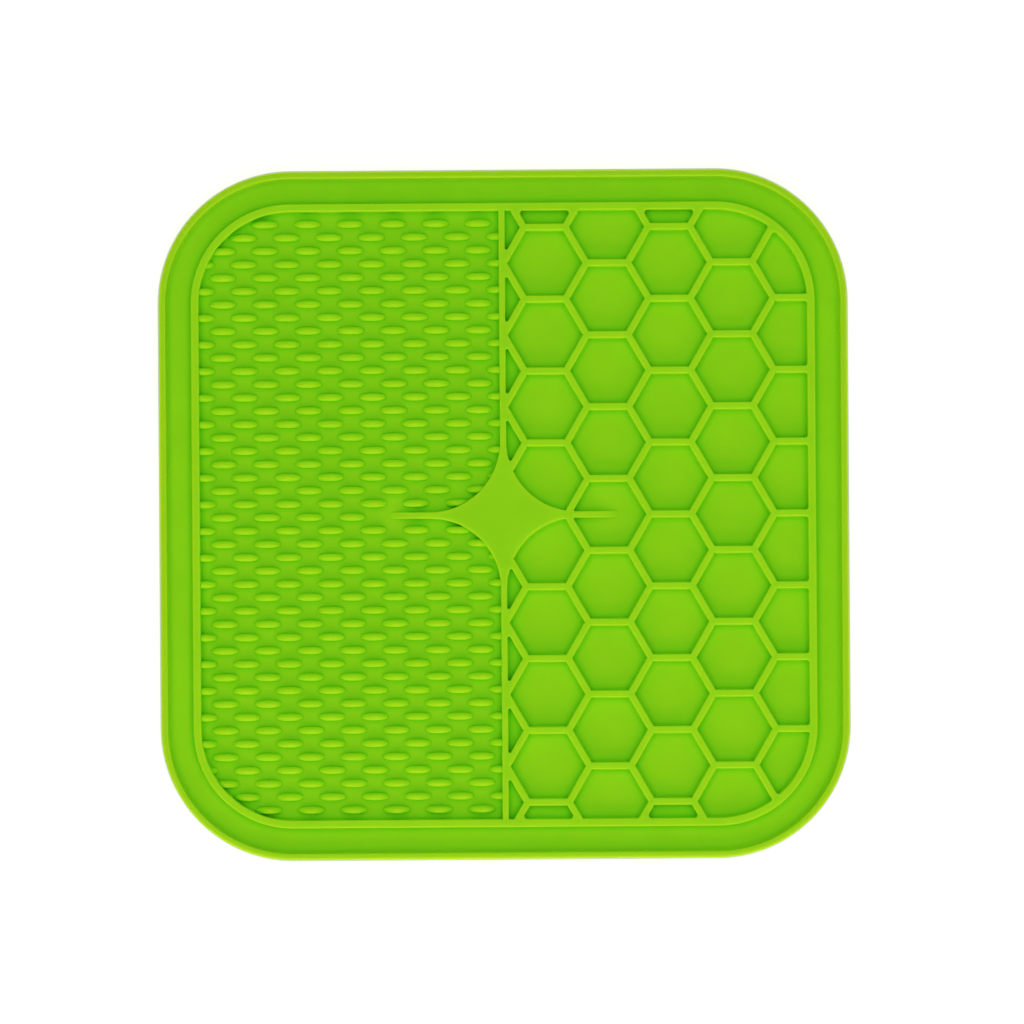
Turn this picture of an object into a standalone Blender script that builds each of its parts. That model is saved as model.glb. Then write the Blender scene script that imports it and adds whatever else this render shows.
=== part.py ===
"""Silicone lick mat: one flexible moulding, a thin square sheet with raised walls and feeding textures.

Frame: metres, +Z up. The mat lies flat on Z = 0 with its centre over the origin. The rows of short
dashes fill the -X half, the honeycomb fills the +X half, and the rib that parts them runs along Y.

Everything stands on one sheet: a lip round the edge, a gutter, a ring wall inside it, the dividing rib
with a four-pointed star at the middle, and the two textures. All walls share one height. The moulding
is made as the mould maker makes it: pockets are cut from a full slab, and the low dashes and the
star's sloping spikes are added.
"""

import math

import bmesh
import bpy
from mathutils import Matrix, Vector

MM = 0.001

# Sheet and rim
SIDE = 200.0 * MM
CORNER_RADIUS = 38.2 * MM
SHEET_THICKNESS = 2.2 * MM
WALL_HEIGHT = 2.6 * MM
LIP_WIDTH = 1.95 * MM
GUTTER_WIDTH = 7.4 * MM
RING_WIDTH = 2.25 * MM
CORNER_STEPS = 10

# Dividing rib and the star at its middle
DIVIDER_X = -0.15 * MM
DIVIDER_WIDTH = 1.8 * MM
STAR_ARC_RADIUS = 20.5 * MM
STAR_ARC_STEPS = 12
SPIKE_REACH = 32.7 * MM
SPIKE_TIP_HEIGHT = 1.0 * MM
SPIKE_ROOT_DROP = 0.05 * MM

# Honeycomb
HEX_PITCH = 20.88 * MM
HEX_RIB = 1.98 * MM
HEX_FIRST_COLUMN_X = 12.3 * MM
HEX_COLUMNS = 6
HEX_ROWS_EACH_WAY = 5

# Dashes: their size on the sheet, the crest's share of it, and how long the pointed end is for its width
DASH_LENGTH = 8.4 * MM
DASH_WIDTH = 2.3 * MM
DASH_HEIGHT = 2.3 * MM
DASH_CREST_LENGTH = 0.72
DASH_CREST_WIDTH = 0.45
DASH_POINT = 0.95
ROW_PITCH = 3.872 * MM
ROWS_EACH_WAY = 22
MIDDLE_ROW_Y = -0.4 * MM
DASH_PITCH = 12.4 * MM
DASH_FIRST_X = -0.85 * MM
DASHES_ACROSS = 8
LEAST_SHOWN = 0.6 * MM

# How far a cutter passes a face that it opens, and how deep an added shape is rooted in the sheet
OVERCUT = 1.0 * MM
ROOT = 0.5 * MM

# Points of a mesh closer than this are one point
WELD = 0.001 * MM

# Silicone
LIME = (0.235, 0.595, 0.010, 1.0)
ROUGHNESS = 0.45

TOP = SHEET_THICKNESS + WALL_HEIGHT
RING_OUTER = SIDE / 2 - LIP_WIDTH - GUTTER_WIDTH
FIELD_HALF = RING_OUTER - RING_WIDTH
FIELD_RADIUS = CORNER_RADIUS - (SIDE / 2 - FIELD_HALF)
STAR_ARC_OFFSET = DIVIDER_WIDTH / 2 + STAR_ARC_RADIUS


def clear_scene():
    """Remove every object, so that the model starts from an empty scene."""
    for obj in list(bpy.data.objects):
        bpy.data.objects.remove(obj, do_unlink=True)


def new_collection(name):
    """A collection of this name in the scene."""
    collection = bpy.data.collections.new(name)
    bpy.context.scene.collection.children.link(collection)
    return collection


def silicone():
    """The lime green silicone of the whole moulding."""
    material = bpy.data.materials.new("lime_silicone")
    material.use_nodes = True
    shader = material.node_tree.nodes["Principled BSDF"]
    shader.inputs["Base Color"].default_value = LIME
    shader.inputs["Roughness"].default_value = ROUGHNESS
    shader.inputs["Metallic"].default_value = 0.0
    material.diffuse_color = LIME
    return material


def arc(centre, radius, start, end, steps):
    """Points along an arc, both ends included. The angles are in degrees."""
    points = []
    for step in range(steps + 1):
        angle = math.radians(start + (end - start) * step / steps)
        points.append(centre + radius * Vector((math.cos(angle), math.sin(angle))))
    return points


def rounded_square(inset):
    """The mat's outline drawn in by inset. All of the rim's corners share the outline's arc centres."""
    radius = CORNER_RADIUS - inset
    reach = SIDE / 2 - CORNER_RADIUS
    points = []
    for x_sign, y_sign, start in ((1, 1, 0), (-1, 1, 90), (-1, -1, 180), (1, -1, 270)):
        centre = Vector((x_sign * reach, y_sign * reach))
        points += arc(centre, radius, start, start + 90, CORNER_STEPS)
    return points


def half_field():
    """The field to the +X side of the divider: straight beside it, except where the star's arcs bite in.

    It is drawn about the divider's own line, anticlockwise from the foot of the divider.
    """
    edge = DIVIDER_WIDTH / 2
    reach = SIDE / 2 - CORNER_RADIUS
    points = [Vector((edge, -FIELD_HALF))]
    points += arc(Vector((reach, -reach)), FIELD_RADIUS, 270, 360, CORNER_STEPS)
    points += arc(Vector((reach, reach)), FIELD_RADIUS, 0, 90, CORNER_STEPS)
    points.append(Vector((edge, FIELD_HALF)))
    upper = Vector((STAR_ARC_OFFSET, STAR_ARC_OFFSET))
    points += arc(upper, STAR_ARC_RADIUS, 180, 270, STAR_ARC_STEPS)
    lower = Vector((STAR_ARC_OFFSET, -STAR_ARC_OFFSET))
    points += arc(lower, STAR_ARC_RADIUS, 90, 180, STAR_ARC_STEPS)
    return points


def field_beside_divider(sign):
    """The half field on one side: the ring's straight sides keep their place, the divider's edge moves."""
    placed = []
    for point in half_field():
        beside_divider = point.x <= STAR_ARC_OFFSET
        shift = DIVIDER_X if beside_divider else 0.0
        placed.append(Vector((sign * point.x + shift, point.y)))
    return placed


def flat_solid(name, outlines, bottom, top, collection):
    """A closed flat solid between two heights. An outline that lies inside another is a hole."""
    curve = bpy.data.curves.new(name, "CURVE")
    curve.dimensions = "2D"
    curve.fill_mode = "BOTH"
    curve.extrude = (top - bottom) / 2
    for outline in outlines:
        spline = curve.splines.new("POLY")
        spline.points.add(len(outline) - 1)
        spline.use_cyclic_u = True
        for point, place in zip(spline.points, outline):
            point.co = (place.x, place.y, 0.0, 1.0)
    drawn = bpy.data.objects.new(name + "_outline", curve)
    drawn.location.z = (bottom + top) / 2
    collection.objects.link(drawn)
    bpy.context.view_layer.update()

    graph = bpy.context.evaluated_depsgraph_get()
    mesh = bpy.data.meshes.new_from_object(drawn.evaluated_get(graph))
    mesh.name = name
    weld(mesh)
    solid = bpy.data.objects.new(name, mesh)
    solid.matrix_world = drawn.matrix_world.copy()
    collection.objects.link(solid)
    bpy.data.objects.remove(drawn, do_unlink=True)
    return solid


def weld(mesh):
    """Join the loose caps of a mesh made from a curve to its sides, with every face pointing out."""
    bm = bmesh.new()
    bm.from_mesh(mesh)
    bmesh.ops.remove_doubles(bm, verts=bm.verts, dist=WELD)
    bmesh.ops.recalc_face_normals(bm, faces=bm.faces)
    bm.to_mesh(mesh)
    bm.free()


def solid_from(bm, name, collection):
    """An object in the collection that holds the bmesh's faces."""
    mesh = bpy.data.meshes.new(name)
    bm.to_mesh(mesh)
    bm.free()
    solid = bpy.data.objects.new(name, mesh)
    collection.objects.link(solid)
    return solid


def combine(target, operation, other):
    """Give the target a Boolean with the other object."""
    boolean = target.modifiers.new(other.name, "BOOLEAN")
    boolean.operation = operation
    boolean.solver = "EXACT"
    boolean.object = other


def hexagon_cells(collection):
    """Six-sided prisms on the honeycomb's pitch, each smaller than its cell by half a rib all round."""
    side = HEX_PITCH / math.sqrt(3)
    radius = (HEX_PITCH - HEX_RIB) / math.sqrt(3)
    depth = WALL_HEIGHT + OVERCUT
    middle = SHEET_THICKNESS + depth / 2
    flat_side_along_x = Matrix.Rotation(math.radians(90), 4, "Z")
    bm = bmesh.new()
    for column in range(HEX_COLUMNS):
        x = HEX_FIRST_COLUMN_X + (column - 1) * 1.5 * side
        stagger = HEX_PITCH / 2 if column % 2 else 0.0
        for row in range(-HEX_ROWS_EACH_WAY, HEX_ROWS_EACH_WAY + 1):
            place = Matrix.Translation((x, row * HEX_PITCH + stagger, middle))
            bmesh.ops.create_cone(
                bm,
                cap_ends=True,
                segments=6,
                radius1=radius,
                radius2=radius,
                depth=depth,
                matrix=place @ flat_side_along_x,
            )
    return solid_from(bm, "hexagon_cells", collection)


def distance_inside_field(x, y):
    """How far a point lies inside the ring wall's inner face. It is negative outside."""
    reach = SIDE / 2 - CORNER_RADIUS
    past_x = abs(x) - reach
    past_y = abs(y) - reach
    if past_x > 0 and past_y > 0:
        return FIELD_RADIUS - math.hypot(past_x, past_y)
    return FIELD_HALF - max(abs(x), abs(y))


def inside_star(x, y):
    """Whether a point lies on the star, between its four arcs."""
    from_x = abs(x - DIVIDER_X)
    from_y = abs(y)
    if max(from_x, from_y) > STAR_ARC_OFFSET:
        return False
    return math.hypot(STAR_ARC_OFFSET - from_x, STAR_ARC_OFFSET - from_y) > STAR_ARC_RADIUS


def dash_places():
    """The centre of each dash that shows, row by row. Every other row is shifted by half a pitch."""
    places = []
    for row in range(-ROWS_EACH_WAY, ROWS_EACH_WAY + 1):
        y = MIDDLE_ROW_Y + row * ROW_PITCH
        shift = 0.0 if row % 2 else DASH_PITCH / 2
        for index in range(DASHES_ACROSS):
            x = DASH_FIRST_X - shift - index * DASH_PITCH
            near_end = x + DASH_LENGTH / 2 - LEAST_SHOWN
            far_end = x - DASH_LENGTH / 2 + LEAST_SHOWN
            outside_ring = distance_inside_field(near_end, y) < 0
            under_star = inside_star(x, y) and inside_star(far_end, y)
            on_spike = row == 0 and x > DIVIDER_X - SPIKE_REACH
            if not (outside_ring or under_star or on_spike):
                places.append(Vector((x, y)))
    return places


def dashes(collection):
    """Low bars with pointed ends: six-sided frustums, drawn out along X and rooted in the sheet."""
    height = DASH_HEIGHT + ROOT
    middle = SHEET_THICKNESS - ROOT + height / 2
    below_sheet = ROOT / DASH_HEIGHT
    points_along_x = Matrix.Rotation(math.radians(90), 4, "Z")
    bm = bmesh.new()
    for place in dash_places():
        made = bmesh.ops.create_cone(
            bm,
            cap_ends=True,
            segments=6,
            radius1=1.0,
            radius2=1.0,
            depth=height,
            matrix=points_along_x,
        )
        for vert in made["verts"]:
            at_end = abs(vert.co.y) < WELD
            climb = 1.0 if vert.co.z > 0 else -below_sheet
            half_length = DASH_LENGTH / 2 * (1 - climb * (1 - DASH_CREST_LENGTH))
            half_width = DASH_WIDTH / 2 * (1 - climb * (1 - DASH_CREST_WIDTH))
            if at_end:
                vert.co.y = place.y
            else:
                vert.co.y = place.y + math.copysign(half_width, vert.co.y)
                half_length -= DASH_POINT * half_width
            vert.co.x = place.x + math.copysign(half_length, vert.co.x)
            vert.co.z += middle
    return solid_from(bm, "dashes", collection)


def spikes(collection):
    """The star's two level points run on as thin ribs whose crests slope down to low tips."""
    root = STAR_ARC_OFFSET - OVERCUT
    foot = SHEET_THICKNESS - ROOT
    crest = TOP - SPIKE_ROOT_DROP
    size = Vector((SPIKE_REACH - root, DIVIDER_WIDTH, crest - foot))
    bm = bmesh.new()
    for sign in (-1, 1):
        middle = Vector((DIVIDER_X + sign * (root + size.x / 2), 0.0, foot + size.z / 2))
        place = Matrix.Translation(middle) @ Matrix.Diagonal((*size, 1.0))
        made = bmesh.ops.create_cube(bm, size=1.0, matrix=place)
        for vert in made["verts"]:
            at_tip = (vert.co.x - middle.x) * sign > 0
            if at_tip and vert.co.z > middle.z:
                vert.co.z = SHEET_THICKNESS + SPIKE_TIP_HEIGHT
    return solid_from(bm, "spikes", collection)


def build():
    """Make the mat and the shapes that cut it or join it."""
    clear_scene()
    mat_collection = new_collection("lick_mat")
    cutters = new_collection("cutters")

    slab = flat_solid("lick_mat", [rounded_square(0.0)], 0.0, TOP, mat_collection)
    slab.data.materials.append(silicone())

    above = TOP + OVERCUT
    gutter_edges = [
        rounded_square(LIP_WIDTH),
        rounded_square(LIP_WIDTH + GUTTER_WIDTH),
    ]
    gutter = flat_solid("gutter", gutter_edges, SHEET_THICKNESS, above, cutters)
    dash_side = field_beside_divider(-1)
    dash_field = flat_solid("dash_field", [dash_side], SHEET_THICKNESS, above, cutters)
    comb_side = field_beside_divider(1)
    comb_field = flat_solid("comb_field", [comb_side], 0.0, above + OVERCUT, cutters)
    pockets = hexagon_cells(cutters)
    combine(pockets, "INTERSECT", comb_field)

    combine(slab, "DIFFERENCE", dash_field)
    combine(slab, "UNION", dashes(cutters))
    combine(slab, "DIFFERENCE", gutter)
    combine(slab, "DIFFERENCE", pockets)
    combine(slab, "UNION", spikes(cutters))

    for helper in cutters.objects:
        helper.hide_render = True
        helper.display_type = "WIRE"


build()
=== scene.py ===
"""Dresses the lick mat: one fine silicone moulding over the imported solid, a pale floor, soft light, a camera.

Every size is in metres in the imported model's frame. The mat lies flat on Z = 0 with its centre over the
origin, the dashes fill its -X half and the honeycomb its +X half.
"""

from __future__ import annotations

import logging
import math
from dataclasses import dataclass, field, replace
from enum import Enum

import bmesh
import bpy
from mathutils import Matrix, Vector

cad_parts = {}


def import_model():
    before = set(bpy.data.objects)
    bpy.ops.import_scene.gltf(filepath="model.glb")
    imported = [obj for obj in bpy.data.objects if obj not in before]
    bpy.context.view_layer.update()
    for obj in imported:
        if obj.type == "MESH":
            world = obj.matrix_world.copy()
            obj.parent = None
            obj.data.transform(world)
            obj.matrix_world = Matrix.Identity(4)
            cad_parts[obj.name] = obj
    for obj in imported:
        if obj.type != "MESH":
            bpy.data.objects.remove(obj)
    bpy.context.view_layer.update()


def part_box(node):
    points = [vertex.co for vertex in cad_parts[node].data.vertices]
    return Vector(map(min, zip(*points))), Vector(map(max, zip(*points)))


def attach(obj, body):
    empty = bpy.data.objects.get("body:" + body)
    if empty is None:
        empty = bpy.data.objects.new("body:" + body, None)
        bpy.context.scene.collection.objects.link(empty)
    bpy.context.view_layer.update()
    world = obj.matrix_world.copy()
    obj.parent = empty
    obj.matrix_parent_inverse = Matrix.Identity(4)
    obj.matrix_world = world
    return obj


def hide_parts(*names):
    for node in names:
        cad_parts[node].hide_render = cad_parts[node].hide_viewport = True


MM = 0.001
NODE = "lick_mat"
BODY = "root"
WHITE = (1.0, 1.0, 1.0, 1.0)
LOG = logging.getLogger("lick_mat")

Loop = list[Vector]
Colour = tuple[float, float, float]
Profile = list[tuple[float, float]]
Ring = list[bmesh.types.BMVert]


class Side(Enum):
    """A side of the mat's middle line along X, with its sign along Y."""

    BACK = 1
    FRONT = -1


class Join(Enum):
    """How one mesh is combined with another."""

    ADD = "UNION"
    KEEP_SHARED = "INTERSECT"


def arc(centre: Vector, radius: float, start: float, end: float, steps: int) -> Loop:
    """Points along an arc, both ends included.

    Args:
        centre: the arc's centre.
        radius: its radius.
        start: the angle of its first point, in degrees.
        end: the angle of its last point, in degrees.
        steps: how many straight steps make it up.

    Returns:
        The points in order.
    """
    points = []
    for step in range(steps + 1):
        angle = math.radians(start + (end - start) * step / steps)
        points.append(centre + radius * Vector((math.cos(angle), math.sin(angle))))
    return points


def left_of(direction: Vector) -> Vector:
    """The direction turned a quarter turn anticlockwise."""
    return Vector((-direction.y, direction.x))


def cut_to(subject: Loop, fence: Loop) -> Loop:
    """The part of one convex outline that lies inside another.

    Args:
        subject: the outline that is cut, anticlockwise.
        fence: the convex outline that it is kept inside, anticlockwise.

    Returns:
        The outline that they share, which is empty where they don't meet.
    """
    kept = subject
    for index, corner in enumerate(fence):
        inward = left_of(corner - fence[index - 1])
        depths = [(point - corner).dot(inward) for point in kept]
        shared = []
        for place, point in enumerate(kept):
            before, depth_before, depth = kept[place - 1], depths[place - 1], depths[place]
            if (depth_before < 0.0) != (depth < 0.0):
                shared.append(before.lerp(point, depth_before / (depth_before - depth)))
            if depth >= 0.0:
                shared.append(point)
        kept = shared
    return kept


@dataclass(frozen=True)
class Outline:
    """A closed outline, anticlockwise round a pocket, with a radius for each of its sharp corners.

    A point with no radius belongs to a curve and stays as it is.
    """

    points: tuple[Vector, ...]
    radii: tuple[float, ...]
    corner_steps: int = 4
    least_radius: float = 0.04 * MM
    edge_share: float = 0.45

    def drawn_in(self, inset: float) -> Loop:
        """The outline moved into the pocket, every edge parallel to itself and every corner rounded.

        Args:
            inset: how far it moves. It is negative to move out of the pocket.

        Returns:
            The moved outline. It has as many points at any inset.
        """
        moved = self._mitred(inset)
        loop = []
        for index, radius in enumerate(self.radii):
            if radius == 0.0:
                loop.append(moved[index])
                continue
            after = moved[(index + 1) % len(moved)]
            loop += self._rounded(moved[index - 1], moved[index], after, radius - inset)
        return loop

    def _mitred(self, inset: float) -> Loop:
        """Move every point so that both of its edges shift.

        Args:
            inset: how far the edges shift into the pocket.

        Returns:
            The moved points.
        """
        moved = []
        for index, here in enumerate(self.points):
            after = self.points[(index + 1) % len(self.points)]
            normal_before = left_of((here - self.points[index - 1]).normalized())
            normal_after = left_of((after - here).normalized())
            share = inset / (1.0 + normal_before.dot(normal_after))
            moved.append(here + (normal_before + normal_after) * share)
        return moved

    def _rounded(self, before: Vector, here: Vector, after: Vector, radius: float) -> Loop:
        """Round one corner.

        Args:
            before: the point ahead of the corner.
            here: the corner.
            after: the point past it.
            radius: the radius asked for, which is cut to the room that the edges leave.

        Returns:
            The arc that takes the corner's place.
        """
        arriving = (here - before).normalized()
        leaving = (after - here).normalized()
        turn = math.atan2(arriving.cross(leaving), arriving.dot(leaving))
        room = self.edge_share * min((here - before).length, (after - here).length)
        half_tangent = math.tan(abs(turn) / 2)
        radius = min(max(radius, self.least_radius), room / half_tangent)
        start = here - arriving * radius * half_tangent
        centre = start + left_of(arriving) * math.copysign(radius, turn)
        spoke = start - centre
        loop = []
        for step in range(self.corner_steps + 1):
            turned = spoke.copy()
            turned.rotate(Matrix.Rotation(turn * step / self.corner_steps, 2))
            loop.append(centre + turned)
        return loop


@dataclass(frozen=True)
class WallShape:
    """The section that the mould gives every wall: a rounded crest, a leaning face and a filleted foot."""

    crest_radius: float = 0.32 * MM
    foot_radius: float = 0.35 * MM
    draft: float = math.radians(3.0)
    margin: float = 0.10 * MM
    crest_steps: int = 5
    foot_steps: int = 4

    @property
    def crest_reach(self) -> float:
        """How far the crest's rounding and its flat margin reach back from the wall's face."""
        return self.crest_radius + self.margin

    def profile(self, top: float, floor: float) -> Profile:
        """The wall's section from its flat crest down to the floor.

        Args:
            top: the height of the crest.
            floor: the height of the floor beside the wall.

        Returns:
            (inset from the face's upper edge, height) pairs.
        """
        steps = [(-self.crest_reach, top)]
        for step in range(self.crest_steps + 1):
            angle = math.pi / 2 * step / self.crest_steps
            inset = self.crest_radius * (math.sin(angle) - 1)
            steps.append((inset, top + self.crest_radius * (math.cos(angle) - 1)))
        face = top - floor - self.crest_radius - self.foot_radius
        lean = face * math.tan(self.draft)
        for step in range(self.foot_steps + 1):
            angle = math.pi / 2 * step / self.foot_steps
            inset = lean + self.foot_radius * (1 - math.cos(angle))
            steps.append((inset, floor + self.foot_radius * (1 - math.sin(angle))))
        steps.append((lean + self.foot_radius + self.margin, floor))
        return steps


@dataclass(frozen=True)
class Levels:
    """The heights of the mat's two surfaces and the half length of its side."""

    half_side: float
    top: float
    sheet: float = 2.2 * MM

    @classmethod
    def of_frame(cls) -> Levels:
        """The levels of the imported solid."""
        _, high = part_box(NODE)
        return cls(half_side=high.x, top=high.z)


class Moulding:
    """A mesh under construction: walls run down from the crest, and flat ground is filled in between."""

    def __init__(self) -> None:
        """Start with no faces."""
        self.bm = bmesh.new()
        self.crest_edges: list[bmesh.types.BMEdge] = []

    def ring(self, loop: Loop, height: float) -> Ring:
        """New points round a loop at one height."""
        return [self.bm.verts.new((point.x, point.y, height)) for point in loop]

    def bridge(self, upper: Ring, lower: Ring) -> None:
        """Join two rings with a strip of faces.

        Args:
            upper: one ring.
            lower: the other, of as many points.
        """
        for index in range(len(upper)):
            face = (upper[index - 1], upper[index], lower[index], lower[index - 1])
            self.bm.faces.new(face)

    def strips(self, rings: list[Ring]) -> Ring:
        """Bridge rings in turn, the first of them on the crest.

        Args:
            rings: the rings, of as many points each.

        Returns:
            The last ring.
        """
        for upper, lower in zip(rings, rings[1:]):
            self.bridge(upper, lower)
        first = rings[0]
        for index in range(len(first)):
            self.crest_edges.append(self.bm.edges.get((first[index - 1], first[index])))
        return rings[-1]

    def wall(self, outline: Outline, profile: Profile) -> Ring:
        """Run a section along an outline.

        Args:
            outline: the pocket's outline.
            profile: the section, from the crest down.

        Returns:
            The points of the last ring, at the wall's foot.
        """
        return self.strips([self.ring(outline.drawn_in(inset), height) for inset, height in profile])

    def floor(self, ring: Ring) -> None:
        """Close a ring with one flat face."""
        self.bm.faces.new(ring)

    def fill_crest(self) -> None:
        """Fill the level ground between all the rings that walls start from."""
        bmesh.ops.triangle_fill(self.bm, use_beauty=True, edges=self.crest_edges, normal=(0, 0, 1))

    def to_object(self, name: str) -> bpy.types.Object:
        """Put the finished mesh in the scene, its faces pointing out.

        Args:
            name: the object's name.

        Returns:
            The object.
        """
        bmesh.ops.recalc_face_normals(self.bm, faces=self.bm.faces)
        mesh = bpy.data.meshes.new(name)
        self.bm.to_mesh(mesh)
        self.bm.free()
        made = bpy.data.objects.new(name, mesh)
        bpy.context.scene.collection.objects.link(made)
        return made


@dataclass
class Rim:
    """The mat's edge: an outer lip, a gutter and the ring wall round both fields."""

    levels: Levels
    walls: WallShape
    corner_radius: float = 38.2 * MM
    lip_width: float = 1.95 * MM
    gutter_width: float = 7.4 * MM
    ring_width: float = 2.25 * MM
    base_radius: float = 0.3 * MM
    lip_round: float = 1.0 * MM
    lip_fillet: float = 0.8 * MM
    corner_steps: int = 28

    @property
    def field_inset(self) -> float:
        """How far the ring wall's inner face lies inside the mat's outline."""
        return self.lip_width + self.gutter_width + self.ring_width

    @property
    def field_half(self) -> float:
        """Half the width of the ground inside the ring wall."""
        return self.levels.half_side - self.field_inset

    @property
    def arc_centre(self) -> float:
        """How far the shared centre of a corner's arcs lies from the mat's middle lines."""
        return self.levels.half_side - self.corner_radius

    @property
    def area(self) -> float:
        """The area inside the mat's outline."""
        return (2 * self.levels.half_side) ** 2 - (4 - math.pi) * self.corner_radius**2

    def square(self, inset: float) -> Loop:
        """The mat's outline, drawn in.

        Args:
            inset: how far it is drawn in. All corners keep the outline's arc centres.

        Returns:
            The loop, anticlockwise.
        """
        points = []
        for x_sign, y_sign, start in ((1, 1, 0), (-1, 1, 90), (-1, -1, 180), (1, -1, 270)):
            centre = Vector((x_sign, y_sign)) * self.arc_centre
            points += arc(centre, self.corner_radius - inset, start, start + 90, self.corner_steps)
        return points

    def inside_field(self, point: Vector) -> float:
        """How far a point lies inside the ring wall's inner face.

        Args:
            point: the point.

        Returns:
            The distance, which is negative outside.
        """
        past = Vector((abs(point.x) - self.arc_centre, abs(point.y) - self.arc_centre))
        if past.x > 0 and past.y > 0:
            return self.corner_radius - self.field_inset - past.length
        return self.field_half - max(abs(point.x), abs(point.y))

    def build(self, moulding: Moulding) -> None:
        """Model the lip, the gutter, the ring wall's outer face and the underside.

        Args:
            moulding: the mesh that they are added to.
        """
        lip_face = replace(self.walls, foot_radius=self.lip_fillet)
        lip_foot = self._gutter_wall(moulding, lip_face, self.lip_width, 1)
        ring_foot = self._gutter_wall(moulding, self.walls, self.lip_width + self.gutter_width, -1)
        moulding.bridge(lip_foot, ring_foot)

        outside = replace(self.walls, crest_radius=self.lip_round).profile(self.levels.top, 0.0)
        crest = [step for step in outside if step[1] > self.levels.sheet]
        rings = [moulding.ring(self.square(-inset), height) for inset, height in crest]
        for step in range(self.walls.foot_steps + 1):
            angle = math.pi / 2 * step / self.walls.foot_steps
            inset = self.base_radius * (1 - math.cos(angle))
            height = self.base_radius * (1 - math.sin(angle))
            rings.append(moulding.ring(self.square(inset), height))
        rings.append(moulding.ring(self.square(self.base_radius + self.walls.margin), 0.0))
        moulding.floor(moulding.strips(rings))

    def _gutter_wall(self, moulding: Moulding, walls: WallShape, start: float, sign: int) -> Ring:
        """Model one wall of the gutter.

        Args:
            moulding: the mesh that it is added to.
            walls: the wall's section.
            start: how far the top edge of its face lies inside the mat's outline.
            sign: 1 where the face looks towards the mat's middle, -1 where it looks out.

        Returns:
            The points at the wall's foot.
        """
        section = walls.profile(self.levels.top, self.levels.sheet)
        rings = [moulding.ring(self.square(start + sign * inset), height) for inset, height in section]
        return moulding.strips(rings)


@dataclass
class Star:
    """The dividing rib along Y, the four-pointed star on it and the star's two level spikes."""

    divider_x: float = -0.15 * MM
    width: float = 1.8 * MM
    arc_radius: float = 20.5 * MM
    reach: float = 33.2 * MM
    tip_share: float = 0.02
    arc_steps: int = 36
    tip_steps: int = 10
    side_steps: int = 10
    soft_zone: float = 1.7 * MM

    @property
    def edge(self) -> float:
        """Half the width of the rib and of the spikes."""
        return self.width / 2

    @property
    def arc_offset(self) -> float:
        """How far the centre of each of the star's arcs lies from the star's middle lines."""
        return self.edge + self.arc_radius

    def upper_arc(self) -> Loop:
        """The star's arc beside the upper right quarter, from the rib down to the spike."""
        return arc(Vector((self.arc_offset, self.arc_offset)), self.arc_radius, 180, 270, self.arc_steps)

    def lower_arc(self) -> Loop:
        """The star's arc beside the lower right quarter, from the spike down to the rib."""
        return arc(Vector((self.arc_offset, -self.arc_offset)), self.arc_radius, 90, 180, self.arc_steps)

    def spike(self, start: float) -> Loop:
        """The outline of the right spike, from its upper side round its tip and back.

        Args:
            start: how far from the star's middle it begins.

        Returns:
            The points in order.
        """
        straight_end = self.reach - self.edge
        upper = []
        for step in range(self.side_steps):
            x = start + (straight_end - start) * step / self.side_steps
            upper.append(Vector((x, self.edge)))
        tip = arc(Vector((straight_end, 0.0)), self.edge, 90, -90, self.tip_steps)
        lower = [Vector((point.x, -point.y)) for point in reversed(upper)]
        return upper + tip + lower

    def covers(self, point: Vector) -> bool:
        """Whether a point lies on the star.

        Args:
            point: the point.

        Returns:
            True between the star's four arcs.
        """
        across = self.arc_offset - abs(point.x - self.divider_x)
        along = self.arc_offset - abs(point.y)
        return min(across, along) > 0 and math.hypot(across, along) > self.arc_radius

    def slope_spikes(self, moulding: Moulding, levels: Levels) -> None:
        """Lower the spikes' crests evenly towards their tips.

        Args:
            moulding: the mesh that holds them.
            levels: the heights of the crest and of the ground.
        """
        for vert in moulding.bm.verts:
            out = abs(vert.co.x - self.divider_x) - self.arc_offset
            beside = abs(vert.co.y) > self.soft_zone or out > self.reach - self.arc_offset + self.soft_zone
            if out <= 0.0 or beside or vert.co.z <= levels.sheet:
                continue
            share = min(out / (self.reach - self.arc_offset), 1.0)
            keep = 1.0 - (1.0 - self.tip_share) * share
            vert.co.z = levels.sheet + (vert.co.z - levels.sheet) * keep


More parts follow.
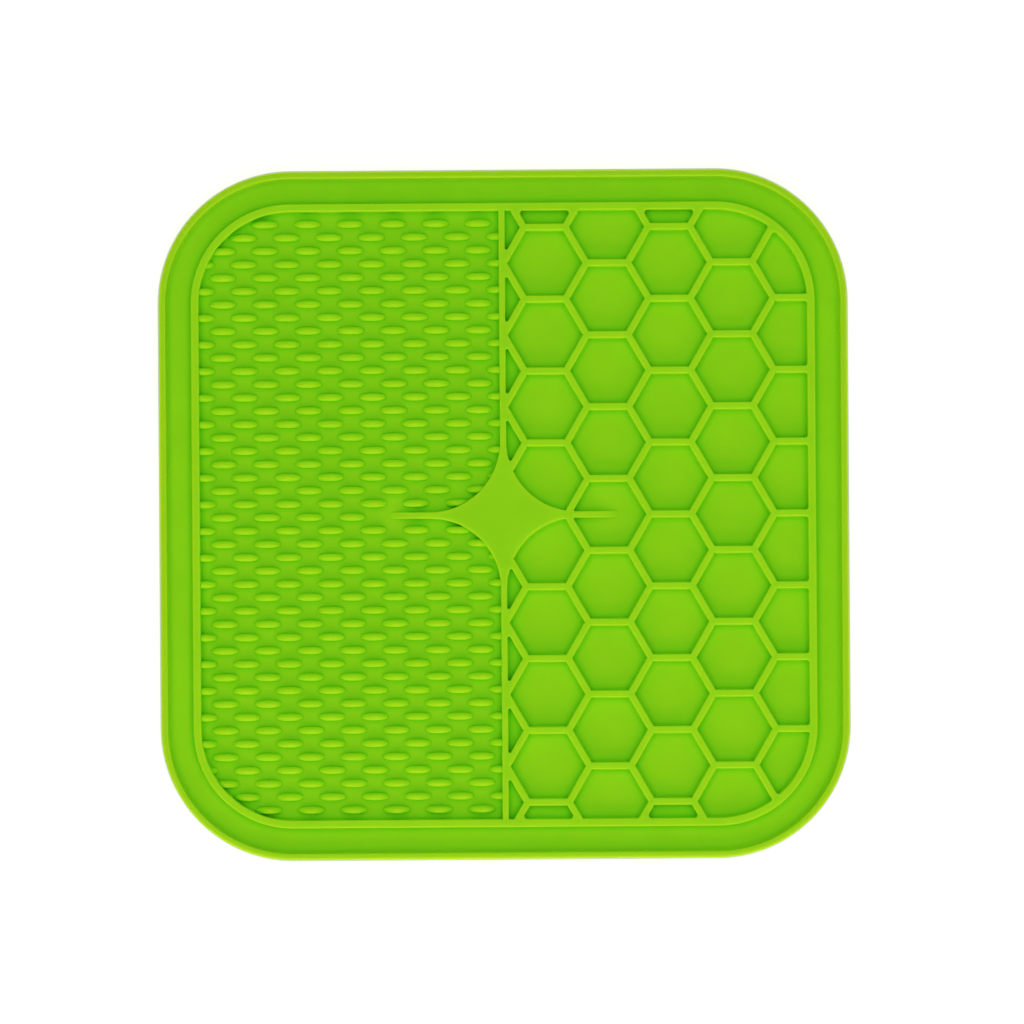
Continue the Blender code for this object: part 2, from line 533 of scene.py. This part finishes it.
@dataclass
class Honeycomb:
    """Ribs round six-sided cells, cut off by the ring wall, the dividing rib and the star."""

    levels: Levels
    rim: Rim
    star: Star
    walls: WallShape
    pitch: float = 20.88 * MM
    rib: float = 1.98 * MM
    first_column_x: float = 12.3 * MM
    columns: int = 6
    rows_each_way: int = 5
    spike_cell: tuple[int, int] = (2, 0)
    cell_corner: float = 0.2 * MM
    tip_corner: float = 0.42 * MM
    wall_corner: float = 0.85 * MM
    smallest: float = 4.0 * MM
    least_turn: float = math.radians(12.0)
    tip_turn: float = math.radians(100.0)
    corner_gap: float = 0.05 * MM
    corner_room: float = 0.9 * MM
    tip_room: float = 2.4 * MM

    @property
    def column_pitch(self) -> float:
        """How far apart two columns of cells stand."""
        return self.pitch * math.sqrt(3) / 2

    def cell(self, column: int, row: int) -> Loop:
        """The six corners of a cell's pocket.

        Args:
            column: the cell's column, 0 for the half cells at the dividing rib.
            row: its row, 0 for the cells level with the star.

        Returns:
            The corners, anticlockwise from the one at +X.
        """
        radius = (self.pitch - self.rib) / math.sqrt(3)
        stagger = self.pitch / 2 if column % 2 else 0.0
        x = self.first_column_x + (column - 1) * self.column_pitch
        return arc(Vector((x, row * self.pitch + stagger)), radius, 0, 360, 6)[:-1]

    def quarter(self, side: Side) -> Loop:
        """The ground of one right quarter, bounded by the star's arc.

        Args:
            side: which of the two quarters.

        Returns:
            Its outline, anticlockwise.
        """
        half = self.rim.field_half
        points = self.star.upper_arc() + [Vector((half, self.star.edge))]
        centre = Vector((self.rim.arc_centre, self.rim.arc_centre))
        radius = self.rim.corner_radius - self.rim.field_inset
        points += arc(centre, radius, 0, 90, self.rim.corner_steps)
        points.append(Vector((self.star.edge, half)))
        for point in points:
            if point.x <= self.star.arc_offset:
                point.x += self.star.divider_x
        if side is Side.BACK:
            return points
        return [Vector((point.x, -point.y)) for point in reversed(points)]

    def pockets(self) -> list[Outline]:
        """Find the pockets that show. A sliver too small to mould is left out.

        Returns:
            The outline of each.
        """
        found = []
        for column in range(self.columns):
            for row in range(-self.rows_each_way, self.rows_each_way + 1):
                cell = self.cell(column, row)
                middle_y = sum(point.y for point in cell) / len(cell)
                if (column, row) == self.spike_cell:
                    found.append(self._with_corners(self._round_spike(cell), column))
                    continue
                fence = self.rim.square(self.rim.field_inset)
                if column < self.spike_cell[0]:
                    if abs(middle_y) < self.rib:
                        continue
                    fence = self.quarter(Side.BACK if middle_y > 0 else Side.FRONT)
                outline = cut_to(cell, fence)
                if len(outline) > 2 and self._width(outline) > self.smallest:
                    found.append(self._with_corners(outline, column))
        return found

    def build(self, moulding: Moulding) -> int:
        """Model every pocket.

        Args:
            moulding: the mesh that they are added to.

        Returns:
            How many pockets there are.
        """
        profile = self.walls.profile(self.levels.top, self.levels.sheet)
        outlines = self.pockets()
        for outline in outlines:
            moulding.floor(moulding.wall(outline, profile))
        return len(outlines)

    def _width(self, outline: Loop) -> float:
        """The larger of an outline's extents along X and Y, or nothing where it is a mere sliver."""
        spans = [max(p[axis] for p in outline) - min(p[axis] for p in outline) for axis in (0, 1)]
        return max(spans) if min(spans) > self.rib else 0.0

    def _round_spike(self, cell: Loop) -> Loop:
        """Lead a cell's outline in and out round the spike that enters at its left corner.

        Args:
            cell: the cell's six corners.

        Returns:
            The outline with the spike cut out of it.
        """
        upper_left, left, lower_left = cell[2], cell[3], cell[4]
        share = self.star.edge / upper_left.y
        entry = left.lerp(upper_left, share)
        around = self.star.spike(entry.x - self.star.divider_x)
        for point in around:
            point.x += self.star.divider_x
        return [cell[0], cell[1], upper_left, *around, lower_left, cell[5]]

    def _with_corners(self, outline: Loop, column: int) -> Outline:
        """Give each sharp corner of an outline its radius: larger where a rib meets the ring wall.

        Points of a curve too near a corner are left out: a corner takes more room further down the wall.

        Args:
            outline: the pocket's outline.
            column: the column of its cell.

        Returns:
            The outline with its radii.
        """
        apart = [p for i, p in enumerate(outline) if (p - outline[i - 1]).length > self.corner_gap]
        turns = [self._turn(apart, index) for index in range(len(apart))]
        corners = [(point, turn) for point, turn in zip(apart, turns) if turn > self.least_turn]
        points, radii = [], []
        for point, turn in zip(apart, turns):
            if turn > self.least_turn:
                at_ring = abs(self.rim.inside_field(point)) < self.corner_gap and column > 0
                tip = self.tip_corner if turn > self.tip_turn else self.cell_corner
                radii.append(self.wall_corner if at_ring else tip)
                points.append(point)
            elif all((point - place).length > self._room(sharp) for place, sharp in corners):
                radii.append(0.0)
                points.append(point)
        return Outline(tuple(points), tuple(radii))

    def _room(self, turn: float) -> float:
        """How much of the outline on either side of a corner is kept straight."""
        return self.tip_room if turn > self.tip_turn else self.corner_room

    def _turn(self, outline: Loop, index: int) -> float:
        """How sharply an outline turns at one of its points.

        Args:
            outline: the outline.
            index: the point's place in it.

        Returns:
            The angle, in radians.
        """
        arriving = outline[index] - outline[index - 1]
        leaving = outline[(index + 1) % len(outline)] - outline[index]
        return abs(math.atan2(arriving.cross(leaving), arriving.dot(leaving)))


@dataclass
class DashField:
    """The dash half: a sunk ground inside the ring wall, and rows of low rounded dashes on it."""

    levels: Levels
    rim: Rim
    star: Star
    walls: WallShape
    length: float = 8.0 * MM
    width: float = 2.3 * MM
    height: float = 2.3 * MM
    row_pitch: float = 3.872 * MM
    rows_each_way: int = 22
    middle_row_y: float = -0.33 * MM
    pitch: float = 12.4 * MM
    first_x: float = -0.85 * MM
    across: int = 8
    least_shown: float = 0.6 * MM
    root: float = 0.3 * MM
    wall_overlap: float = 1.0 * MM
    corner: float = 0.2 * MM
    trim_reach: float = 1.0 * MM
    around: int = 24
    rings: int = 7
    last_ring: float = math.radians(80.0)
    end_fullness: float = 1.5
    side_fullness: float = 2.6
    plan_fullness: float = 2.5

    def outline(self) -> Outline:
        """The ground's outline: the ring wall, the dividing rib, the star's arcs and its left spike.

        It is laid out on the +X side, like the star's arcs, and then mirrored.

        Returns:
            The outline.
        """
        star, rim = self.star, self.rim
        corner_radius = rim.corner_radius - rim.field_inset
        centre = rim.arc_centre
        points = [Vector((star.edge, -rim.field_half))]
        points += arc(Vector((centre, -centre)), corner_radius, 270, 360, rim.corner_steps)
        points += arc(Vector((centre, centre)), corner_radius, 0, 90, rim.corner_steps)
        points.append(Vector((star.edge, rim.field_half)))
        corners = {0, len(points) - 1}
        points += star.upper_arc()[:-1] + star.spike(star.arc_offset) + star.lower_arc()[1:]
        placed = []
        for point in points:
            shift = star.divider_x if point.x < rim.arc_centre else 0.0
            placed.append(Vector((shift - point.x, point.y)))
        radii = [self.corner if index in corners else 0.0 for index in range(len(placed))]
        return Outline(tuple(reversed(placed)), tuple(reversed(radii)))

    def places(self) -> list[Vector]:
        """Find the dashes that show. Every other row is shifted by half a pitch.

        Returns:
            The middle of each.
        """
        found = []
        for row in range(-self.rows_each_way, self.rows_each_way + 1):
            y = self.middle_row_y + row * self.row_pitch
            shift = 0.0 if row % 2 else self.pitch / 2
            for index in range(self.across):
                x = self.first_x - shift - index * self.pitch
                shown_half = self.length / 2 - self.least_shown
                outside_ring = self.rim.inside_field(Vector((x + shown_half, y))) < 0
                middle_covered = self.star.covers(Vector((x, y)))
                under_star = middle_covered and self.star.covers(Vector((x - shown_half, y)))
                on_spike = row == 0 and x > self.star.divider_x - self.star.reach
                if not (outside_ring or under_star or on_spike):
                    found.append(Vector((x, y)))
        return found

    def build_ground(self, moulding: Moulding) -> None:
        """Model the sunk ground and the walls round it.

        Args:
            moulding: the mesh that they are added to.
        """
        profile = self.walls.profile(self.levels.top, self.levels.sheet)
        moulding.floor(moulding.wall(self.outline(), profile))

    def build_dashes(self) -> bpy.types.Object:
        """Model all the dashes, trimmed to end inside the walls that they run into.

        Returns:
            The dashes as one object.
        """
        moulding = Moulding()
        rises = [math.sin(self.last_ring * step / (self.rings - 1)) for step in range(self.rings)]
        for place in self.places():
            rings = [moulding.ring(*self._level(place, rise)) for rise in (-self.root / self.height, *rises)]
            for lower, upper in zip(rings, rings[1:]):
                moulding.bridge(upper, lower)
            moulding.floor(rings[0])
            moulding.floor(rings[-1])
        dashes = moulding.to_object("dashes")

        trim = Moulding()
        loop = self.outline().drawn_in(-self.wall_overlap)
        low = trim.ring(loop, self.levels.sheet - self.trim_reach)
        high = trim.ring(loop, self.levels.top + self.trim_reach)
        trim.bridge(high, low)
        trim.floor(low)
        trim.floor(high)
        combine(dashes, trim.to_object("dash_trim"), Join.KEEP_SHARED)
        return dashes

    def _level(self, place: Vector, rise: float) -> tuple[Loop, float]:
        """A level cut through a dash.

        Args:
            place: the dash's middle.
            rise: how far up the cut lies, as a share of the dash's height.

        Returns:
            The cut's outline, and its height.
        """
        up = max(rise, 0.0)
        half_length = self.length / 2 * (1 - up**self.end_fullness) ** (1 / self.end_fullness)
        half_width = self.width / 2 * (1 - up**self.side_fullness) ** (1 / self.side_fullness)
        loop = []
        for index in range(self.around):
            angle = 2 * math.pi * index / self.around
            along = math.copysign(abs(math.cos(angle)) ** (2 / self.plan_fullness), math.cos(angle))
            aside = math.copysign(abs(math.sin(angle)) ** (2 / self.plan_fullness), math.sin(angle))
            loop.append(place + Vector((half_length * along, half_width * aside)))
        return loop, self.levels.sheet + self.height * rise


def combine(target: bpy.types.Object, other: bpy.types.Object, join: Join) -> None:
    """Combine another object's solid into the target's mesh, and remove that object.

    Args:
        target: the object that is kept.
        other: the object that is used up.
        join: how the two are combined.
    """
    boolean = target.modifiers.new(other.name, "BOOLEAN")
    boolean.operation = join.value
    boolean.solver = "MANIFOLD"
    boolean.object = other
    bpy.context.view_layer.update()
    evaluated = target.evaluated_get(bpy.context.evaluated_depsgraph_get())
    mesh = bpy.data.meshes.new_from_object(evaluated)
    target.modifiers.clear()
    target.data = mesh
    bpy.data.objects.remove(other, do_unlink=True)


@dataclass(frozen=True)
class Silicone:
    """Satin lime green silicone, mottled, with painted light: a painted highlight where thin, painted shade
    deepening the green in corners and painted shade dulling the outer lip.
    """

    rim: Rim
    flat_colour: Colour = (0.375, 0.82, 0.02)
    thin_highlight_colour: Colour = (0.475, 0.84, 0.035)
    corner_shade_colour: Colour = (0.24, 0.70, 0.003)
    lip_shade_colour: Colour = (0.42, 0.765, 0.028)
    corner_shade_reach: float = 2.0 * MM
    corner_shade_share: float = 0.40
    thin_highlight_reach: float = 1.6 * MM
    thin_highlight_share: float = 0.35
    slope_seen: float = 0.75
    lip_start: float = 3.6 * MM
    lip_end: float = 2.2 * MM
    mottle_size: float = 9.0 * MM
    mottle_depth: float = 0.06
    roughness: float = 0.45
    specular: float = 0.1
    scatter_radius: tuple[float, float, float] = (1.4, 1.8, 1.0)
    scatter_scale: float = 1.0 * MM
    grain_size: float = 0.18 * MM
    grain_depth: float = 0.012 * MM
    noise_detail: float = 2.0
    shelter_samples: int = 4
    name: str = "lime_silicone"

    def material(self) -> bpy.types.Material:
        """Build the procedural material.

        Returns:
            The material, with its colour, sheen, scattering and grain.
        """
        material = bpy.data.materials.new(self.name)
        material.use_nodes = True
        tree = material.node_tree
        shader = tree.nodes["Principled BSDF"]
        shader.inputs["Roughness"].default_value = self.roughness
        shader.inputs["Specular IOR Level"].default_value = self.specular
        shader.inputs["Subsurface Weight"].default_value = 1.0
        shader.inputs["Subsurface Radius"].default_value = self.scatter_radius
        shader.inputs["Subsurface Scale"].default_value = self.scatter_scale
        tree.links.new(self._colour(tree), shader.inputs["Base Color"])
        tree.links.new(self._grain(tree), shader.inputs["Normal"])
        return material

    def _colour(self, tree: bpy.types.NodeTree) -> bpy.types.NodeSocket:
        """Mottle the colour, and paint light and shade into it: a painted highlight where the mat is thin,
        painted shade on the lip and in corners.

        Args:
            tree: the material's node tree.

        Returns:
            The output that carries the colour of each spot.
        """
        deep = tuple(value * (1.0 - self.mottle_depth) for value in self.flat_colour)
        pale = tuple(value * (1.0 + self.mottle_depth) for value in self.flat_colour)
        flat = self._tint(tree, deep, pale, self._noise(tree, self.mottle_size))
        # Painted highlight: paler where the silicone is thin and level, as thin crests catch more light.
        solid = self._tint(tree, flat, self.thin_highlight_colour, self._thin_highlight_mask(tree))
        # Painted shade: a duller tint on the outer lip, which dims the light that scatters in through its outer
        # face.
        edged = self._tint(tree, solid, self.lip_shade_colour, self._lip(tree))
        # Painted shade: a deeper, darker green where walls close in over a spot.
        openness = self._openness(tree, self.corner_shade_reach, self.corner_shade_share)
        return self._tint(tree, self.corner_shade_colour, edged, openness)

    def _noise(self, tree: bpy.types.NodeTree, size: float) -> bpy.types.NodeSocket:
        """Add noise that stays with the mat.

        Args:
            tree: the material's node tree.
            size: about how large its lumps are.

        Returns:
            The output that carries the noise.
        """
        place = tree.nodes.new("ShaderNodeTexCoord")
        noise = tree.nodes.new("ShaderNodeTexNoise")
        noise.inputs["Scale"].default_value = 1.0 / size
        noise.inputs["Detail"].default_value = self.noise_detail
        tree.links.new(place.outputs["Object"], noise.inputs["Vector"])
        return noise.outputs["Fac"]

    def _grain(self, tree: bpy.types.NodeTree) -> bpy.types.NodeSocket:
        """Roughen the surface by the grain that the mould leaves.

        Args:
            tree: the material's node tree.

        Returns:
            The output that carries the surface's direction.
        """
        bump = tree.nodes.new("ShaderNodeBump")
        bump.inputs["Strength"].default_value = 1.0
        bump.inputs["Distance"].default_value = self.grain_depth
        tree.links.new(self._noise(tree, self.grain_size), bump.inputs["Height"])
        return bump.outputs["Normal"]

    def _openness(
        self, tree: bpy.types.NodeTree, reach: float, least: float, inside: bool = False
    ) -> bpy.types.NodeSocket:
        """Measure how open the space over a spot is, from 0 in a tight corner to 1 in the open.

        Args:
            tree: the material's node tree.
            reach: how far off walls are looked for.
            least: the openness that counts as none.
            inside: look into the solid instead, where 1 means that it is thick.

        Returns:
            The output that carries the openness.
        """
        shelter = tree.nodes.new("ShaderNodeAmbientOcclusion")
        shelter.samples = self.shelter_samples
        shelter.inside = inside
        shelter.only_local = True
        shelter.inputs["Distance"].default_value = reach
        openness = tree.nodes.new("ShaderNodeMapRange")
        openness.inputs["From Min"].default_value = least
        tree.links.new(shelter.outputs["AO"], openness.inputs["Value"])
        return openness.outputs["Result"]

    def _thin_highlight_mask(self, tree: bpy.types.NodeTree) -> bpy.types.NodeSocket:
        """Measure how thin the silicone under a spot is, which sets where the painted highlight goes. Level
        ground counts, and a steep face doesn't.

        Args:
            tree: the material's node tree.

        Returns:
            The output that carries the thinness, from 0 to 1.
        """
        place = tree.nodes.new("ShaderNodeTexCoord")
        split = tree.nodes.new("ShaderNodeSeparateXYZ")
        tree.links.new(place.outputs["Normal"], split.inputs["Vector"])
        steepness = tree.nodes.new("ShaderNodeMapRange")
        steepness.inputs["From Min"].default_value = self.slope_seen
        steepness.inputs["To Min"].default_value = 1.0
        steepness.inputs["To Max"].default_value = 0.0
        tree.links.new(split.outputs["Z"], steepness.inputs["Value"])
        most = tree.nodes.new("ShaderNodeMath")
        most.operation = "MAXIMUM"
        tree.links.new(steepness.outputs["Result"], most.inputs[0])
        tree.links.new(self._openness(tree, self.thin_highlight_reach, self.thin_highlight_share, inside=True), most.inputs[1])
        rest = tree.nodes.new("ShaderNodeMath")
        rest.operation = "SUBTRACT"
        rest.inputs[0].default_value = 1.0
        tree.links.new(most.outputs["Value"], rest.inputs[1])
        return rest.outputs["Value"]

    def _lip(self, tree: bpy.types.NodeTree) -> bpy.types.NodeSocket:
        """Tell the outer lip, where shade is painted, from the rest, by the distance from the corners' arc
        centres.

        Args:
            tree: the material's node tree.

        Returns:
            The output that is 1 on the lip and 0 inside it.
        """
        place = tree.nodes.new("ShaderNodeTexCoord")
        source = place.outputs["Object"]
        centre = (self.rim.arc_centre, self.rim.arc_centre, self.rim.levels.half_side)
        for operation, amount in (("ABSOLUTE", None), ("SUBTRACT", centre), ("MAXIMUM", (0.0, 0.0, 0.0))):
            step = tree.nodes.new("ShaderNodeVectorMath")
            step.operation = operation
            tree.links.new(source, step.inputs[0])
            if amount:
                step.inputs[1].default_value = amount
            source = step.outputs["Vector"]
        out = tree.nodes.new("ShaderNodeVectorMath")
        out.operation = "LENGTH"
        tree.links.new(source, out.inputs[0])
        share = tree.nodes.new("ShaderNodeMapRange")
        share.inputs["From Min"].default_value = self.rim.corner_radius - self.lip_start
        share.inputs["From Max"].default_value = self.rim.corner_radius - self.lip_end
        tree.links.new(out.outputs["Value"], share.inputs["Value"])
        return share.outputs["Result"]

    def _tint(
        self,
        tree: bpy.types.NodeTree,
        low: Colour | bpy.types.NodeSocket,
        high: Colour | bpy.types.NodeSocket,
        share: bpy.types.NodeSocket,
    ) -> bpy.types.NodeSocket:
        """Mix two colours.

        Args:
            tree: the material's node tree.
            low: the colour where the share is 0, fixed or from a node.
            high: the colour where the share is 1.
            share: the output that says how much of the high colour shows.

        Returns:
            The output that carries the mixed colour.
        """
        tint = tree.nodes.new("ShaderNodeMix")
        tint.data_type = "RGBA"
        for name, colour in (("A", low), ("B", high)):
            socket = next(i for i in tint.inputs if i.name == name and i.type == "RGBA")
            if isinstance(colour, tuple):
                socket.default_value = (*colour, 1.0)
            else:
                tree.links.new(colour, socket)
        tree.links.new(share, tint.inputs["Factor"])
        return next(o for o in tint.outputs if o.type == "RGBA")


@dataclass
class LickMat:
    """The whole moulding: rim, dividing rib and star, honeycomb and dashes in one mesh."""

    levels: Levels
    walls: WallShape = field(default_factory=WallShape)
    sharp_edge: float = math.radians(35)
    painted_shadow_reach: float = 0.6 * MM

    @property
    def rim(self) -> Rim:
        """The mat's edge, which the rest is fitted to."""
        return Rim(self.levels, self.walls)

    @property
    def painted_shadow_outline(self) -> Loop:
        """The outline of the floor's painted shadow, which has no glow: under the mat and a thin ring at its
        foot, a little wider than the mat.
        """
        return self.rim.square(-self.painted_shadow_reach)

    def build(self) -> bpy.types.Object:
        """Model and dress the mat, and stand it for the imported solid.

        Returns:
            The finished piece.
        """
        mat = self._model()
        mat.data.shade_smooth()
        mat.data.set_sharp_from_angle(angle=self.sharp_edge)
        mat.data.materials.clear()
        mat.data.materials.append(Silicone(self.rim).material())
        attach(mat, BODY)
        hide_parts(NODE)
        LOG.info("mat: %d faces", len(mat.data.polygons))
        return mat

    def _model(self) -> bpy.types.Object:
        """Model the moulding.

        Returns:
            The moulding as one closed mesh.
        """
        star = Star()
        rim = self.rim
        comb = Honeycomb(self.levels, rim, star, self.walls)
        dash_field = DashField(self.levels, rim, star, self.walls)

        moulding = Moulding()
        rim.build(moulding)
        pockets = comb.build(moulding)
        dash_field.build_ground(moulding)
        moulding.fill_crest()
        star.slope_spikes(moulding, self.levels)
        mat = moulding.to_object("lick_mat_moulding")
        combine(mat, dash_field.build_dashes(), Join.ADD)
        LOG.info("honeycomb: %d pockets; dashes: %d", pockets, len(dash_field.places()))
        return mat


@dataclass(frozen=True)
class ToneCurve:
    """The picture's contrast: steeper than life in the shadows and gentler in the highlights."""

    knee: float = 0.3
    shadow_slope: float = 1.35
    highlight_slope: float = 0.75
    marks: tuple[float, ...] = (0.02, 0.05, 0.1, 0.2, 0.35, 0.5, 0.75)
    combined_curve: int = 3

    def shown(self, light: float) -> float:
        """The brightness that an amount of light is shown at.

        Args:
            light: the light, 1 for pure white.

        Returns:
            The brightness, also 1 for pure white.
        """
        at_knee = self.knee**self.highlight_slope
        if light > self.knee:
            return light**self.highlight_slope
        return at_knee * (light / self.knee) ** self.shadow_slope

    def apply(self) -> None:
        """Set the scene's contrast to this curve."""
        view = bpy.context.scene.view_settings
        view.view_transform = "Standard"
        view.use_curve_mapping = True
        curve = view.curve_mapping.curves[self.combined_curve]
        for mark in self.marks:
            curve.points.new(mark, self.shown(mark))
        view.curve_mapping.update()


@dataclass(frozen=True)
class Softbox:
    """A soft rectangular light that faces the mat's middle."""

    name: str
    place: tuple[float, float, float]
    size: tuple[float, float]
    power: float

    def build(self) -> None:
        """Hang the light."""
        data = bpy.data.lights.new(self.name, "AREA")
        data.shape = "RECTANGLE"
        data.size, data.size_y = self.size
        data.energy = self.power
        lamp = bpy.data.objects.new(self.name, data)
        lamp.location = self.place
        lamp.rotation_euler = (-Vector(self.place)).to_track_quat("-Z", "Y").to_euler()
        lamp.visible_camera = False
        bpy.context.scene.collection.objects.link(lamp)


@dataclass
class Studio:
    """A white floor that glows round the mat, soft lights about it and the camera straight above it."""

    levels: Levels
    painted_shadow_outline: Loop
    floor_size: float = 6.0
    floor_gap: float = 0.02 * MM
    floor_white: float = 0.9
    floor_roughness: float = 0.9
    floor_glow: float = 0.56
    front: Softbox = Softbox("front", (0.0, -0.95, 0.34), (1.36, 0.54), 4.1)
    overhead: Softbox = Softbox("overhead", (0.0, 0.0, 1.8), (1.8, 1.8), 7.2)
    surroundings: float = 0.352
    camera_height: float = 1.3
    view_width: float = 297.33 * MM
    sensor_width: float = 36.0
    aim: tuple[float, float] = (2.28 * MM, 0.82 * MM)
    roll: float = math.radians(-0.41)
    tone: ToneCurve = ToneCurve()

    def floor(self) -> None:
        """Lay a plain white floor. It is lit and glows all round the mat; under it and in a thin ring at its
        foot it has no glow, a painted shadow.
        """
        bm = bmesh.new()
        half = self.floor_size / 2
        corners = [Vector((x, y)) for x, y in ((-half, -half), (half, -half), (half, half), (-half, half))]
        edges = []
        for loop in (corners, self.painted_shadow_outline):
            ring = [bm.verts.new((point.x, point.y, -self.floor_gap)) for point in loop]
            edges += [bm.edges.new((ring[index - 1], ring[index])) for index in range(len(ring))]
        bmesh.ops.triangle_fill(bm, use_beauty=True, edges=edges, normal=(0, 0, 1))
        # The patch under the mat and the thin ring at its foot get no glow: a painted shadow.
        bm.faces.new(ring).material_index = 1
        mesh = bpy.data.meshes.new("floor")
        bm.to_mesh(mesh)
        bm.free()
        plane = bpy.data.objects.new("floor", mesh)
        bpy.context.scene.collection.objects.link(plane)
        mesh.materials.append(self.paper("lit_floor", self.floor_glow))
        mesh.materials.append(self.paper("painted_shadow_floor", 0.0))

    def paper(self, name: str, glow: float) -> bpy.types.Material:
        """Matt white paper.

        Args:
            name: the material's name.
            glow: how much light it gives off itself.

        Returns:
            The material.
        """
        material = bpy.data.materials.new(name)
        material.use_nodes = True
        shader = material.node_tree.nodes["Principled BSDF"]
        shader.inputs["Base Color"].default_value = (*[self.floor_white] * 3, 1.0)
        shader.inputs["Roughness"].default_value = self.floor_roughness
        shader.inputs["Emission Color"].default_value = WHITE
        shader.inputs["Emission Strength"].default_value = glow
        return material

    def lights(self) -> None:
        """Hang the softboxes and make the surroundings white."""
        self.front.build()
        self.overhead.build()
        world = bpy.data.worlds.new("surroundings")
        world.use_nodes = True
        background = world.node_tree.nodes["Background"]
        background.inputs["Color"].default_value = WHITE
        background.inputs["Strength"].default_value = self.surroundings
        bpy.context.scene.world = world

    def camera(self) -> None:
        """Set up the camera, looking straight down."""
        data = bpy.data.cameras.new("camera")
        data.sensor_width = self.sensor_width
        data.lens = self.sensor_width * self.camera_height / self.view_width
        eye = bpy.data.objects.new("camera", data)
        eye.location = (*self.aim, self.levels.top + self.camera_height)
        eye.rotation_euler = (0.0, 0.0, self.roll)
        bpy.context.scene.collection.objects.link(eye)
        bpy.context.scene.camera = eye

    def build(self) -> None:
        """Set up the floor, the lights, the camera and the contrast."""
        self.floor()
        self.lights()
        self.camera()
        self.tone.apply()
        LOG.info("studio: floor, 2 softboxes and camera")


def main() -> None:
    """Build the dressed mat in its studio."""
    logging.basicConfig(level=logging.INFO, format="%(name)s: %(message)s")
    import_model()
    levels = Levels.of_frame()
    mat = LickMat(levels)
    mat.build()
    Studio(levels, mat.painted_shadow_outline).build()


if __name__ == "__main__":
    main()
